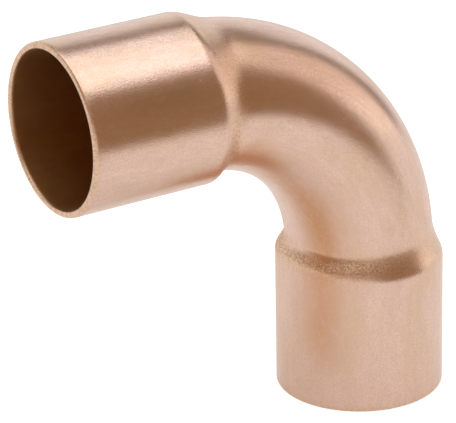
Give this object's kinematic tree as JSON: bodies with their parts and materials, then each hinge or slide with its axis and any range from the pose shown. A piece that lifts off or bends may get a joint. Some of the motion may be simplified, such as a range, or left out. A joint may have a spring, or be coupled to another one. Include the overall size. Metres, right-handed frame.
{
  "type": "pipe elbow",
  "caption": "Long-radius 90-degree copper elbow formed from one tube, with a solder socket and pipe stop at each end.",
  "frame": {"origin": "centre of the lower socket's mouth", "axes": "-Z out of the lower socket's mouth, -X out of the upper socket's mouth, Y normal to the plane of the bend, which is a plane of symmetry"},
  "size_m": [0.0619, 0.0242, 0.0619],
  "materials": {
    "copper": "satin bright copper, barrel-finished, with faint forming marks at the shoulders"
  },
  "bodies": {
    "root": {"elbow_body": "copper"}
  },
  "joints": []
}
